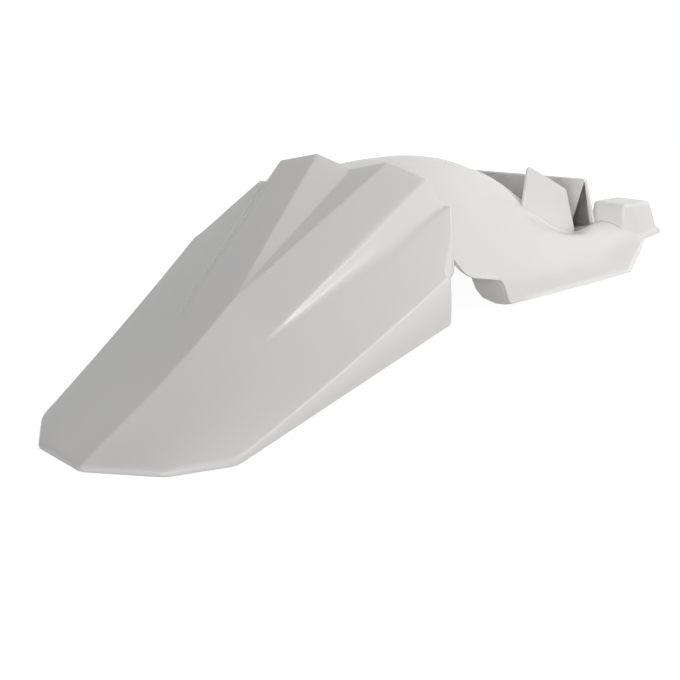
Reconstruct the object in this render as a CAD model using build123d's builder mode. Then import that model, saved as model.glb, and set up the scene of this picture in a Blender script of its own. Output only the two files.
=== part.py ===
from build123d import *
import os

# A motocross rear fender: one thin shell, injection moulded in polypropylene.
# The frame has +X towards the front of the motorcycle, +Y to its left and +Z up. The origin is
# at the bottom centre of the box around the part, which rests on its tail rim and side skirts.
# All distances along the fender are measured forwards from the tip of the tail.

# Overall sizes and wall, and the depths and heights that blocks are run to before they are trimmed
LENGTH = 722.0
WALL = 2.8
PANEL_DROP = 1.15 * WALL
BELOW = -40.0
ABOVE = 220.0
OVERRUN = 12.0

# Plan of the tail blade, right half: how far forward and how far out each corner is
TAIL_CORNER = (23.0, 60.6)
TAIL_SHOULDER = (65.0, 94.0)
BRIM_END = (306.0, 127.6)
FRONT_EDGE = 358.0
FRONT_EDGE_HALF = 96.0
TAIL_CORNER_RADIUS = 9.0
TAIL_SHOULDER_RADIUS = 34.0
BRIM_END_RADIUS = 5.0

# Heights of the blade's ridge, and of the brim where the top turns down into the side skirt
RIDGE_AT_TAIL = 4.8
RIDGE_AT_FRONT = 152.0
BRIM_AT_SHOULDER = 7.0
BRIM_AT_END = 86.5
SKIRT_AT_SHOULDER = 2.0
SKIRT_AT_END = 50.0
SKIRT_CORNER = 6.0
SKIRT_RETURN = 5.0
STEP_BOTTOM = 84.0

# The two raised fingers of the blade: where they fade in, and their corners at the front edge
FORK = 194.0
FADE = 165.6
FADE_OUT = 44.0
CREST = (34.0, 160.5)
BROW = (73.0, 150.3)
STRIP_FOOT = (90.0, 130.6)
LEDGE = (96.0, 130.0)
FINGER_SEED = 0.8
TAIL_SPREAD = 20.0
PANEL_CROWN = 0.8
TAIL_CROWN = 5.5

# Wheel arch and deck: key stations, each with the half outline of the outer skin from the crown
# to the shoulder, where the skin turns down into the side skirt
ARCH_KEYS = {
    335.0: [(0, 155), (34, 152), (62, 142), (86, 122), (100, 100), (105, 86)],
    380.0: [(0, 152), (30, 148), (56, 134), (80, 110), (97, 82), (104, 63)],
    430.0: [(0, 147), (28, 142), (54, 126), (78, 98), (96, 66), (103, 47)],
    480.0: [(0, 137), (28, 131), (54, 112), (76, 86), (95, 56), (102, 43)],
    525.0: [(0, 120), (28, 115), (52, 99), (74, 74), (93, 49), (102, 40)],
    560.0: [(0, 103), (28, 97), (52, 81), (72, 63), (92, 45), (102, 38)],
    600.0: [(0, 70), (28, 66), (52, 57), (72, 51), (90, 43), (102, 38)],
    640.0: [(0, 42), (28, 40), (52, 38), (72, 44), (88, 44), (103, 39)],
    680.0: [(0, 37), (28, 36), (52, 36), (72, 39), (88, 39), (104, 35)],
    740.0: [(0, 28), (28, 27), (52, 27), (72, 28), (88, 27), (105, 24)],
}
ARCH_STEP = 27.0
STEP_RIM = 9.0

# Lower edge of the arch and skirts, seen from the side
LIP_NOTCH = (346.0, 92.0)
LIP_MIDDLE = (372.0, 69.0)
LIP_END = (429.0, 48.5)
SKIRT_REAR = (435.0, 28.0)
SKIRT_FRONT = (663.0, 0.0)
SKIRT_TOP_FRONT = (692.0, 23.0)
DECK_LIP = 21.0

# Web that closes the rear of each skirt, set across the fender
WEB_AT = 438.0
WEB_OUTLINE = [(64.0, 26.0), (120.0, 26.0), (120.0, 120.0), (80.0, 120.0), (64.0, 60.0)]
WEB_CORNER = 20.0

# Splash plate across the deck, leaning back towards the tail
PLATE_FOOT = (661.0, 32.0)
PLATE_TOP = (640.0, 89.0)
PLATE_HALF = 69.0
PLATE_CORNER = 3.0
PLATE_THICK = 3.2

# Single upright fin on the right-hand flank of the arch
FIN_OUT = 58.0
FIN_THICK = 3.0
FIN_OUTLINE = [(541.0, 78.0), (552.5, 119.0), (620.0, 84.5), (633.0, 30.0)]
FIN_REAR_RADIUS = 2.0
FIN_FRONT_RADIUS = 9.0

# Hollow box at each front corner of the deck, drafted on all four sides
BOX_CENTRE = (685.0, 86.5)
BOX_BASE = (60.0, 35.0)
BOX_TOP = (40.0, 27.0)
BOX_FOOT = 26.0
BOX_HEIGHT = 64.0
BOX_TOP_BACK = 4.0
BOX_RADIUS = 6.0
BOX_ROOF_SLOPE = 8.0
BOX_EDGE_RADIUS = 2.5

# Bolt holes through level pads on the deck, and two blind bosses under the blade
BOLT_RADIUS = 3.3
DECK_BOLT_AT = 700.0
DECK_BOLT_HALF = 35.0
DECK_PAD_RADIUS = 9.0
DECK_PAD_FOOT = 29.0
DECK_PAD_TOP = 36.5
BOSS_AT = 290.0
BOSS_HALF = 42.0
BOSS_RADIUS = 8.0
BOSS_FOOT = 84.0
BOSS_DEPTH = 20.0

os.makedirs("parts", exist_ok=True)


def along(distance):
    """X of a point this far forward of the tail tip."""
    return distance - LENGTH / 2


def across(distance):
    """Plane square to the fender: sketch x runs to the left and sketch y runs up."""
    return Plane.YZ.offset(along(distance))


def between(start, end, share):
    """Point on the straight line from start to end."""
    return tuple(a + (b - a) * share for a, b in zip(start, end))


def mirrored(half):
    """Outline from right to left, from a half outline that starts on the centre plane."""
    return [(-y, z) for y, z in reversed(half[1:])] + list(half)


def ridge_height(distance):
    """Height of the straight centre ridge, which goes on as the groove between the fingers."""
    return RIDGE_AT_TAIL + (RIDGE_AT_FRONT - RIDGE_AT_TAIL) * distance / FRONT_EDGE


def brim(distance):
    """Distance out and height of the blade's side edge."""
    share = (distance - TAIL_SHOULDER[0]) / (BRIM_END[0] - TAIL_SHOULDER[0])
    return between((TAIL_SHOULDER[1], BRIM_AT_SHOULDER), (BRIM_END[1], BRIM_AT_END), share)


def panel_height(distance, out):
    """Height of the plain blade panel, which falls from ridge to brim and is crowned at the tail."""
    edge_out, edge_height = brim(distance)
    share = out / edge_out
    slope = ridge_height(distance) + (edge_height - ridge_height(distance)) * share
    crown = PANEL_CROWN + (TAIL_CROWN - PANEL_CROWN) * max(0, 1 - distance / FADE)
    return slope + crown * 4 * share * (1 - share)


def blade_outline(distance):
    """Half outline of the blade's top, run out past the brim so that the plan can trim it."""
    half = [(0.0, ridge_height(distance))]
    if distance <= FORK:
        half.append((FINGER_SEED, panel_height(distance, FINGER_SEED)))
    else:
        start = (FINGER_SEED, panel_height(FORK, FINGER_SEED))
        half.append(between(start, CREST, (distance - FORK) / (FRONT_EDGE - FORK)))
    for step, corner in enumerate((BROW, STRIP_FOOT, LEDGE)):
        seed = FADE_OUT + step * FINGER_SEED
        if distance <= FADE:
            out = seed + (1 - distance / FADE) * TAIL_SPREAD * (step - 1)
            half.append((out, panel_height(distance, out)))
        else:
            start = (seed, panel_height(FADE, seed))
            half.append(between(start, corner, (distance - FADE) / (FRONT_EDGE - FADE)))
    past_brim = 1.5
    half.append(between(half[-1], brim(distance), past_brim))
    return half


def blade_sketch(distance, drop):
    """Closed section of the space under the blade's top, lowered by the wall on the inside."""
    with BuildSketch(across(distance)) as section:
        top = [(y, z - drop) for y, z in mirrored(blade_outline(distance))]
        with BuildLine():
            Polyline(*top, (top[-1][0], BELOW), (top[0][0], BELOW), close=True)
        make_face()
    return section.sketch


def blade_plan(inset):
    """Plan of the blade, drawn in by the wall on the inside."""
    half = [(0.0, 0.0), TAIL_CORNER, TAIL_SHOULDER, BRIM_END, (FRONT_EDGE, FRONT_EDGE_HALF)]
    corners = [(along(x), -y) for x, y in reversed(half[1:])] + [(along(x), y) for x, y in half]
    with BuildSketch(Plane.XY.offset(BELOW)) as plan:
        with BuildLine():
            Polyline(*corners, close=True)
        make_face()
        for corner, radius in (
            (TAIL_CORNER, TAIL_CORNER_RADIUS),
            (TAIL_SHOULDER, TAIL_SHOULDER_RADIUS),
            (BRIM_END, BRIM_END_RADIUS),
        ):
            for side in (1, -1):
                spot = Vector(along(corner[0]), side * corner[1], 0)
                fillet(plan.vertices().sort_by_distance(spot)[0], radius=radius)
        if inset:
            offset(amount=-inset, kind=Kind.INTERSECTION, mode=Mode.REPLACE)
    return plan.sketch


def blade_block(drop, inset):
    """Solid block under the blade's top, trimmed to the plan."""
    with BuildPart() as block:
        for distance in (-OVERRUN, FADE, FORK, FRONT_EDGE + OVERRUN):
            add(blade_sketch(distance, drop))
        loft(ruled=True)
        extrude(blade_plan(inset), amount=ABOVE - BELOW, mode=Mode.INTERSECT)
    return block.part


def arch_outline(distance):
    """Half outline of the arch, run smoothly through the key stations without overshoot."""
    stations = list(ARCH_KEYS)
    index = max(i for i, x in enumerate(stations[:-1]) if x <= distance)
    start, end = stations[index], stations[index + 1]
    share = (distance - start) / (end - start)

    def slope(i, point, axis):
        if i in (0, len(stations) - 1):
            return 0.0
        before, here, after = (ARCH_KEYS[stations[i + n]][point][axis] for n in (-1, 0, 1))
        back = (here - before) / (stations[i] - stations[i - 1])
        ahead = (after - here) / (stations[i + 1] - stations[i])
        return 2 * back * ahead / (back + ahead) if back * ahead > 0 else 0.0

    def eased(point, axis):
        low, high = ARCH_KEYS[start][point][axis], ARCH_KEYS[end][point][axis]
        rise = high - low
        lead = slope(index, point, axis) * (end - start)
        trail = slope(index + 1, point, axis) * (end - start)
        bend = lead * (1 - share) - trail * share + rise * (2 * share - 1)
        return low + rise * share + share * (1 - share) * bend

    return [(eased(point, 0), eased(point, 1)) for point in range(len(ARCH_KEYS[start]))]


def inset_half(half, wall):
    """Half outline moved inwards by the wall, square to its own run."""
    moved = []
    for index, (y, z) in enumerate(half):
        before = half[max(index - 1, 0)]
        after = half[min(index + 1, len(half) - 1)]
        run = Vector(after[0] - before[0], after[1] - before[1]).normalized()
        if index == 0:
            run = Vector(1, 0)
        moved.append((y + run.Y * wall, z - run.X * wall))
    moved[-1] = (half[-1][0] - wall, moved[-1][1])
    return moved


def arch_sketch(distance, wall):
    """Closed section of the space under the arch, drawn in by the wall on the inside."""
    half = arch_outline(distance)
    if wall:
        half = inset_half(half, wall)
    with BuildSketch(across(distance)) as section:
        with BuildLine():
            skin = Spline(*mirrored(half))
            Polyline(skin @ 1, (half[-1][0], BELOW), (-half[-1][0], BELOW), skin @ 0)
        make_face()
    return section.sketch


def arch_block(wall):
    """Solid block under the arch, deck and skirts."""
    first, last = min(ARCH_KEYS), max(ARCH_KEYS)
    steps = round((last - first) / ARCH_STEP)
    with BuildPart() as block:
        for step in range(steps + 1):
            add(arch_sketch(first + (last - first) * step / steps, wall))
        loft()
    return block.part


def leaning_plane(distance, height, lean):
    """Plane across the fender whose sketch y leans back towards the tail by this angle."""
    return Plane(
        origin=(along(distance), 0, height),
        x_dir=(0, 1, 0),
        z_dir=Vector(1, 0, 0).rotate(Axis.Y, -lean),
    )


def corner_box(side, inset):
    """Drafted block for one corner box, drawn in by the wall for its cavity."""
    centre = (along(BOX_CENTRE[0]), side * BOX_CENTRE[1])
    roof = Plane(
        origin=(centre[0] - BOX_TOP_BACK, centre[1], BOX_HEIGHT - inset),
        z_dir=Vector(0, 0, 1).rotate(Axis.Y, BOX_ROOF_SLOPE),
    )
    with BuildPart() as block:
        with BuildSketch(Plane.XY.offset(BOX_FOOT - inset)):
            with Locations(centre):
                RectangleRounded(BOX_BASE[0] - 2 * inset, BOX_BASE[1] - 2 * inset, BOX_RADIUS)
        with BuildSketch(roof):
            RectangleRounded(BOX_TOP[0] - 2 * inset, BOX_TOP[1] - 2 * inset, BOX_RADIUS)
        loft()
        if not inset:
            fillet(block.faces().sort_by(Axis.Z)[-1].edges(), BOX_EDGE_RADIUS)
    return block.part


# The block under the blade's top, and the same block drawn in by the wall
blade_outer = blade_block(0.0, 0.0)
blade_inner = blade_block(PANEL_DROP, WALL)

# What is kept of the blade, seen from the side: all that is above the lower edge of its skirt
with BuildPart() as blade_keep:
    skirt_end = BRIM_END[0] + SKIRT_RETURN
    with BuildSketch(Plane.XZ) as side:
        with BuildLine():
            lower_edge = [
                (-OVERRUN, 0.0),
                (TAIL_CORNER[0], 0.0),
                (TAIL_SHOULDER[0], SKIRT_AT_SHOULDER),
                (skirt_end, SKIRT_AT_END),
                (skirt_end, STEP_BOTTOM),
                (FRONT_EDGE + OVERRUN, STEP_BOTTOM),
                (FRONT_EDGE + OVERRUN, ABOVE),
                (-OVERRUN, ABOVE),
            ]
            Polyline(*[(along(x), z) for x, z in lower_edge], close=True)
        make_face()
        for height in (SKIRT_AT_END, STEP_BOTTOM):
            corner = Vector(along(skirt_end), height, 0)
            fillet(side.vertices().sort_by_distance(corner)[0], radius=SKIRT_CORNER)
    extrude(amount=FRONT_EDGE, both=True)

# The arch and deck, trimmed along the lip of the arch and the edges of the side skirts
with BuildPart() as arch_outer:
    add(arch_block(0.0))
    with BuildSketch(Plane.XZ):
        with BuildLine():
            lip = Spline(*[(along(x), z) for x, z in (LIP_NOTCH, LIP_MIDDLE, LIP_END)])
            rest = [
                SKIRT_REAR,
                SKIRT_FRONT,
                SKIRT_TOP_FRONT,
                (LENGTH, DECK_LIP),
                (LENGTH, ABOVE),
                (LIP_NOTCH[0], ABOVE),
            ]
            Polyline(lip @ 1, *[(along(x), z) for x, z in rest], lip @ 0)
        make_face()
    extrude(amount=FRONT_EDGE, both=True, mode=Mode.INTERSECT)
    extrude(blade_plan(WALL), amount=ABOVE - BELOW, mode=Mode.SUBTRACT)
with BuildPart() as arch_inner:
    add(arch_block(WALL))
    with BuildSketch(across(FRONT_EDGE)):
        Rectangle(2 * LENGTH, 2 * LENGTH)
    extrude(amount=LENGTH - WALL - FRONT_EDGE, mode=Mode.INTERSECT)

# The way from under the blade into the arch, inside a narrow rim
with BuildPart() as step_passage:
    add(arch_sketch(FRONT_EDGE, WALL + STEP_RIM))
    extrude(amount=-2 * STEP_RIM)

# Splash plate, square across the deck and leaning back
with BuildPart() as splash_plate:
    lean = Vector(0, 1).get_angle(Vector(PLATE_FOOT[0] - PLATE_TOP[0], PLATE_TOP[1] - PLATE_FOOT[1]))
    height = Vector(*PLATE_TOP).sub(Vector(*PLATE_FOOT)).length
    with BuildSketch(leaning_plane(*PLATE_FOOT, lean)) as face:
        Rectangle(2 * PLATE_HALF, height, align=(Align.CENTER, Align.MIN))
        fillet(face.vertices().group_by(Axis.Y)[-1], radius=PLATE_CORNER)
    extrude(amount=PLATE_THICK)

# Fin, standing along the right-hand flank
with BuildPart() as fin:
    with BuildSketch(Plane.XZ.offset(FIN_OUT)) as face:
        with BuildLine():
            Polyline(*[(along(x), z) for x, z in FIN_OUTLINE], close=True)
        make_face()
        front_top = face.vertices().sort_by(Axis.X)[-2:].sort_by(Axis.Y)[-1]
        fillet(front_top, radius=FIN_FRONT_RADIUS)
        fillet(face.vertices().sort_by(Axis.Y)[-1], radius=FIN_REAR_RADIUS)
    extrude(amount=FIN_THICK / 2, both=True)

# Webs that close the rear of the skirts, with a round inner corner clear of the wheel
with BuildPart() as skirt_webs:
    with BuildSketch(across(WEB_AT)) as face:
        with BuildLine():
            Polyline(*WEB_OUTLINE, close=True)
        make_face()
        fillet(face.vertices().group_by(Axis.Y)[0].sort_by(Axis.X)[0], radius=WEB_CORNER)
        mirror(about=Plane.YZ)
    extrude(amount=WALL)
    add(arch_outer.part, mode=Mode.INTERSECT)

# Level pads for the bolts through the deck
with BuildPart() as deck_pads:
    with Locations(*[(along(DECK_BOLT_AT), side * DECK_BOLT_HALF, DECK_PAD_FOOT) for side in (1, -1)]):
        Cylinder(DECK_PAD_RADIUS, DECK_PAD_TOP - DECK_PAD_FOOT, align=(Align.CENTER, Align.CENTER, Align.MIN))

# Blind bosses under the blade
with BuildPart() as bosses:
    with Locations(*[(along(BOSS_AT), side * BOSS_HALF, BOSS_FOOT) for side in (1, -1)]):
        Cylinder(BOSS_RADIUS, ABOVE, align=(Align.CENTER, Align.CENTER, Align.MIN))
        Cylinder(BOLT_RADIUS, BOSS_DEPTH, align=(Align.CENTER, Align.CENTER, Align.MIN), mode=Mode.SUBTRACT)
    add(blade_block(WALL / 2, WALL), mode=Mode.INTERSECT)

# The whole moulding
with BuildPart() as rear_fender:
    add(blade_outer)
    add(blade_keep.part, mode=Mode.INTERSECT)
    add(arch_outer.part)
    add(splash_plate.part)
    add(fin.part)
    for side in (1, -1):
        add(corner_box(side, 0.0))
    add(blade_inner, mode=Mode.SUBTRACT)
    add(arch_inner.part, mode=Mode.SUBTRACT)
    add(step_passage.part, mode=Mode.SUBTRACT)
    for side in (1, -1):
        add(corner_box(side, WALL), mode=Mode.SUBTRACT)
    add(skirt_webs.part)
    add(deck_pads.part)
    add(bosses.part)
    with Locations(*[(along(DECK_BOLT_AT), side * DECK_BOLT_HALF, 0) for side in (1, -1)]):
        Cylinder(BOLT_RADIUS, ABOVE, mode=Mode.SUBTRACT)
rear_fender.part.label = "rear_fender"
export_step(rear_fender.part, "parts/rear_fender.step")
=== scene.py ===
import math

import bmesh
import bpy
import numpy as np
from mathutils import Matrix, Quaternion, Vector


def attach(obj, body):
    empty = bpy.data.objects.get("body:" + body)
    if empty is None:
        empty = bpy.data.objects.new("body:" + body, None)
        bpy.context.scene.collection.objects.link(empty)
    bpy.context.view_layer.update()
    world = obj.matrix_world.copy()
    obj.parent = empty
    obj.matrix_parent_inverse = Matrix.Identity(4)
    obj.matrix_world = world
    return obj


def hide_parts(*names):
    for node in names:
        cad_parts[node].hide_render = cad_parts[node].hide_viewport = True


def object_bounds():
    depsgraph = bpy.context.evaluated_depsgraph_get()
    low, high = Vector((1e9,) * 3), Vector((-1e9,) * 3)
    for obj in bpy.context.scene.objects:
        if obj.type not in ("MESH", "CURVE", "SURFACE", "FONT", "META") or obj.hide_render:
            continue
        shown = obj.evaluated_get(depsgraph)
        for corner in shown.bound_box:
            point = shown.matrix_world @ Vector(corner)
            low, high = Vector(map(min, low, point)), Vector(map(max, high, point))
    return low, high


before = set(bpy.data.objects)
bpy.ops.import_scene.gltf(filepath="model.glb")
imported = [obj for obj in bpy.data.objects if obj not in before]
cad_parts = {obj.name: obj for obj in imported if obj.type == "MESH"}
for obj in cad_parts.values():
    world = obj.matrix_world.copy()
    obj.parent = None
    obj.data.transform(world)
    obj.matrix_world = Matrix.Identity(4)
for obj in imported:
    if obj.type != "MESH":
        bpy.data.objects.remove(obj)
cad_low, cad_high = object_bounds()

# Wheel arch and deck
# The hollow saddle over the wheel, which runs down at its front into a flat deck under the seat.
# It is moulded in polypropylene, and its skin turns down at the shoulders into two side skirts.
# Sizes are in millimetres: forwards from the tip of the tail, out to the left, and up.
MM = 0.001
WALL = 2.8
LENGTH = 722.0
ARCH_KEYS = {
    335.0: [(0, 151), (34, 148), (62, 139.5), (80, 127), (88, 119), (95, 109), (101, 98), (105, 86)],
    380.0: [(0, 151.2), (30, 147.2), (56, 133.5), (74, 117), (83, 105.5), (91, 93), (98.5, 79.5), (104, 63)],
    430.0: [(0, 147), (28, 142), (54, 126), (72, 106), (81.5, 92.5), (90, 77.5), (97.5, 62.5), (103, 47)],
    480.0: [(0, 137), (28, 131), (54, 112), (72, 91.5), (82, 77), (90.5, 64), (97.5, 51.5), (102, 40)],
    525.0: [(0, 120), (28, 115), (52, 99), (71, 77.5), (82, 63.5), (91, 52), (98, 42.5), (102.5, 34.5)],
    560.0: [(0, 103), (28, 97), (52, 81), (70, 65), (82, 54), (91.5, 45.5), (98.5, 38), (102.5, 30.5)],
    600.0: [(0, 70), (28, 66), (53, 55), (72, 50), (86, 47.5), (93, 42.5), (98.5, 32), (103, 24)],
    620.0: [(0, 54), (28, 51.5), (55, 43), (72, 45.5), (90, 44.5), (97, 38), (101.3, 27), (102.6, 16.5)],
    640.0: [(0, 42), (28, 40), (56, 37.5), (71, 46), (94, 43.5), (100.3, 37.5), (102.4, 26), (102.4, 12)],
    665.0: [(0, 38.5), (28, 37.5), (54, 37.5), (71, 45.5), (95.5, 41), (101, 35.5), (102.4, 26), (102.2, 14)],
    690.0: [(0, 36), (28, 35), (52, 36.5), (71, 43), (94, 38.5), (99.5, 35), (102.5, 32.5), (104.5, 30.5)],
    740.0: [(0, 31), (28, 30), (52, 31), (71, 35.5), (90, 34), (98, 32.3), (102, 31.3), (105.5, 30.5)],
}
LIP = [(346.0, 91.0), (358.0, 77.5), (379.0, 65.2), (427.0, 50.5)]
SKIRT_REAR, SKIRT_FRONT, SKIRT_TOP_FRONT = (445.0, 25.8), (664.0, 0.0), (690.0, 26.0)
SKIRT_ROUNDS = (11.0, 3.0, 3.0, 2.0)
DECK_LIP, DECK_ROLL = 25.0, 1.4
SHOULDER_ROUND, FLANGE_ROUND = 5.0, 2.0
LIP_FLARE, LIP_HEIGHT = 2.2, 3.5
FLARE_STATIONS, FLARE_SHARES = (425.0, 440.0, 465.0, 490.0, 678.0, 692.0), (1, 0.1, 0.1, 1, 1, 0.15)
SHOULDER_REACH, FLANK_ROOM, SHOULDER_ROOM, LIP_ROOM = 1.6, 6.0, 2.0, 0.6
BELOW_FLOOR = 30.0
DECK_LIP_SHARES = (0.35, 0.7, 1.0)
INNER_ROLL = 0.6
SAMPLE, ARCH_ROW, STATION_STEP = 0.5, 3.0, 1.0
EDGE_PASSES = 6
MERGE = 1e-6
FLANK_COLUMNS, SHOULDER_COLUMNS, SKIRT_COLUMNS, LIP_COLUMNS = 34, 8, 6, 5
ROLL_ROWS, RIM_ROWS, RIM_SQUARE = 5, 7, 0.6

# Plan of the front edge of the blade, which the arch starts from
FRONT_EDGE, FRONT_HALF = 359.4, 96.5
BRIM_START, BRIM_END = (64.4, 94.2, 6.8), (306.0, 127.6, 86.5)
JOIN_DEPTH, JOIN_FADE = 1.2, 40.0

stations = np.array(list(ARCH_KEYS))
key_points = np.array(list(ARCH_KEYS.values()), float)


def eased_keys(x):
    """The half outline's key points at one station, run through the keys without overshoot."""
    i = int(np.clip(np.searchsorted(stations, x) - 1, 0, len(stations) - 2))
    climb = np.diff(key_points, axis=0) / np.diff(stations)[:, None, None]
    product = climb[:-1] * climb[1:]
    total = np.where(product > 0, climb[:-1] + climb[1:], 1.0)
    slope = np.zeros_like(key_points)
    slope[1:-1] = np.where(product > 0, 2 * product / total, 0.0)
    gap = stations[i + 1] - stations[i]
    t = (x - stations[i]) / gap
    rise = key_points[i + 1] - key_points[i]
    bend = slope[i] * gap * (1 - t) - slope[i + 1] * gap * t + rise * (2 * t - 1)
    return key_points[i] + rise * t + t * (1 - t) * bend


def run_length(points):
    """Distance along a path to each of its points."""
    return np.concatenate(([0], np.cumsum(np.linalg.norm(np.diff(points, axis=0), axis=1))))


def smooth_curve(points):
    """Natural cubic spline through a few points, finely sampled."""
    run = run_length(points)
    gaps, count = np.diff(run), len(points)
    matrix, right = np.eye(count), np.zeros((count, 2))
    for i in range(1, count - 1):
        matrix[i, i - 1 : i + 2] = gaps[i - 1], 2 * (gaps[i - 1] + gaps[i]), gaps[i]
        ahead = (points[i + 1] - points[i]) / gaps[i]
        right[i] = 6 * (ahead - (points[i] - points[i - 1]) / gaps[i - 1])
    bend = np.linalg.solve(matrix, right)
    fine = np.linspace(0, run[-1], int(run[-1] / SAMPLE) + 1)
    i = np.clip(np.searchsorted(run, fine) - 1, 0, count - 2)
    a, b, gap = (run[i + 1] - fine)[:, None], (fine - run[i])[:, None], gaps[i][:, None]
    cubic = (bend[i] * a**3 + bend[i + 1] * b**3) / (6 * gap)
    ends = (points[i] / gap - bend[i] * gap / 6) * a + (points[i + 1] / gap - bend[i + 1] * gap / 6) * b
    return cubic + ends


def rounded_path(corners, radii):
    """Finely spaced points along a path whose inner corners are rounded to the given radii."""
    corners = [np.array(c, float) for c in corners]
    points = [corners[0]]
    for before, corner, after, radius in zip(corners, corners[1:], corners[2:], radii):
        arrive = (corner - before) / np.linalg.norm(corner - before)
        leave = (after - corner) / np.linalg.norm(after - corner)
        turn = math.atan2(arrive[0] * leave[1] - arrive[1] * leave[0], arrive @ leave)
        begin = corner - arrive * radius * math.tan(abs(turn) / 2)
        spoke = math.copysign(radius, turn) * np.array((arrive[1], -arrive[0]))
        for angle in np.linspace(0, turn, 2 * max(2, int(abs(turn) * radius / SAMPLE)) + 1):
            cos, sin = math.cos(angle), math.sin(angle)
            swung = np.array((spoke[0] * cos - spoke[1] * sin, spoke[0] * sin + spoke[1] * cos))
            points.append(begin - spoke + swung)
    points = np.array(points + [corners[-1]])
    run = run_length(points)
    fine = np.unique(np.concatenate((run, np.arange(0, run[-1], SAMPLE))))
    return np.column_stack([np.interp(fine, run, points[:, axis]) for axis in (0, 1)])


skirt_corners = [*LIP[-2:], SKIRT_REAR, SKIRT_FRONT, SKIRT_TOP_FRONT, (LENGTH, DECK_LIP)]
skirt_edge = rounded_path(skirt_corners, SKIRT_ROUNDS)
lip_edge = smooth_curve(np.array(LIP))
lower_edge = np.vstack((lip_edge[lip_edge[:, 0] < LIP[-2][0]], skirt_edge))
LIP_START_SLOPE = (LIP[1][1] - LIP[0][1]) / (LIP[1][0] - LIP[0][0])


def arch_bottom(x):
    """Height of the lower edge of the arch and its skirts."""
    before = LIP[0][1] + LIP_START_SLOPE * (x - LIP[0][0])
    return before if x < LIP[0][0] else float(np.interp(x, *lower_edge.T))


def arch_section(x):
    """Half section from the crown down the skirt: points, inward normals, run, and shoulder's run."""
    keys = eased_keys(x)
    curve = smooth_curve(np.vstack((keys[:0:-1] * (-1, 1), keys)))
    curve = curve[curve[:, 0] >= 0]
    drop = np.arange(SAMPLE, curve[-1, 1] + BELOW_FLOOR, SAMPLE)
    skirt = np.column_stack((np.full_like(drop, curve[-1, 0]), curve[-1, 1] - drop))
    path = np.vstack((curve, skirt))
    width = int(np.interp(x, (SKIRT_FRONT[0], SKIRT_TOP_FRONT[0]), (SHOULDER_ROUND, FLANGE_ROUND)) / SAMPLE)
    path = np.vstack((path[width:0:-1] * (-1, 1), path))
    kernel = np.ones(2 * width + 1) / (2 * width + 1)
    path = np.column_stack([np.convolve(path[:, axis], kernel, "valid") for axis in (0, 1)])
    path[0, 0] = 0.0
    along = np.gradient(path, axis=0)
    along /= np.linalg.norm(along, axis=1)[:, None]
    along[0] = (1, 0)
    run = run_length(path)
    return path, np.column_stack((along[:, 1], -along[:, 0])), run, run[len(curve) - 1]


def arch_columns(x):
    """Outer and inner points of the half section at one station, one for each column of the mesh."""
    path, inward, run, turn = arch_section(x)
    target = arch_bottom(x) + WALL / 2
    above = np.nonzero(path[:, 1] > target)[0][-1]
    end = float(np.interp(-target, -path[above : above + 2, 1], run[above : above + 2]))
    flank = min(turn - SHOULDER_ROUND * SHOULDER_REACH, end - FLANK_ROOM)
    shoulder = min(turn + SHOULDER_ROUND * SHOULDER_REACH, end - SHOULDER_ROOM)
    lip = max(end - LIP_HEIGHT, shoulder + LIP_ROOM)
    places = np.concatenate(
        (
            np.linspace(0, flank, FLANK_COLUMNS + 1),
            np.linspace(flank, shoulder, SHOULDER_COLUMNS + 1)[1:],
            np.linspace(shoulder, lip, SKIRT_COLUMNS + 1)[1:],
            np.linspace(lip, end, LIP_COLUMNS + 1)[1:],
        )
    )
    outer = np.column_stack([np.interp(places, run, path[:, axis]) for axis in (0, 1)])
    normal = np.column_stack([np.interp(places, run, inward[:, axis]) for axis in (0, 1)])
    flare = LIP_FLARE * np.interp(x, FLARE_STATIONS, FLARE_SHARES)
    flare = flare * np.clip(1 - (end - places) / LIP_HEIGHT, 0, 1) ** 2
    outer = outer - normal * flare[:, None]
    return np.hstack((outer, outer + normal * WALL))


def front_of_plan(y):
    """How far forward the blade's front edge is at this distance out."""
    swept = (FRONT_EDGE - BRIM_END[0]) / (BRIM_END[1] - FRONT_HALF)
    return FRONT_EDGE - np.maximum(0, y - FRONT_HALF) * swept


station_x = np.arange(stations[0], LENGTH + 2 * STATION_STEP, STATION_STEP)
station_columns = np.array([arch_columns(x) for x in station_x])


def arch_grid(skin, front, roll):
    """Half grid of one skin: rows from the blade to the deck's front, then down the front lip."""
    across = station_columns[:, :, 2 * skin : 2 * skin + 2]
    count = across.shape[1]
    start = np.full(count, FRONT_EDGE)
    for _ in range(EDGE_PASSES):
        out = [np.interp(start[j], station_x, station_columns[:, j, 0]) for j in range(count)]
        start = front_of_plan(np.array(out)) - JOIN_DEPTH
    first, last = FRONT_EDGE - JOIN_DEPTH, front - roll
    rows = []
    for nominal in np.linspace(first, last, int((LENGTH - FRONT_EDGE) / ARCH_ROW)):
        x = nominal + (start - first) * max(0, 1 - (nominal - first) / JOIN_FADE)
        spots = [[np.interp(x[j], station_x, across[:, j, axis]) for axis in (0, 1)] for j in range(count)]
        rows.append(np.column_stack((x, spots)))
    edge = rows[-1]
    fall = (rows[-1][:, 2] - rows[-2][:, 2]) / (rows[-1][0, 0] - rows[-2][0, 0])
    lowest = DECK_LIP + WALL / 2
    for angle in np.linspace(0, math.pi / 2, ROLL_ROWS + 1)[1:]:
        reach = roll * math.sin(angle)
        height = edge[:, 2] + fall * reach - roll * (1 - math.cos(angle))
        rows.append(np.column_stack((edge[:, 0] + reach, edge[:, 1], np.maximum(height, lowest))))
    top = rows[-1]
    for share in DECK_LIP_SHARES:
        height = top[:, 2] + (lowest - top[:, 2]) * share
        rows.append(np.column_stack((top[:, 0], top[:, 1], height)))
    return np.array(rows)


def whole_grid(half):
    """Both halves of a grid, from right to left."""
    return np.concatenate((half[:, :0:-1] * (1, -1, 1), half), axis=1)


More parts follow.
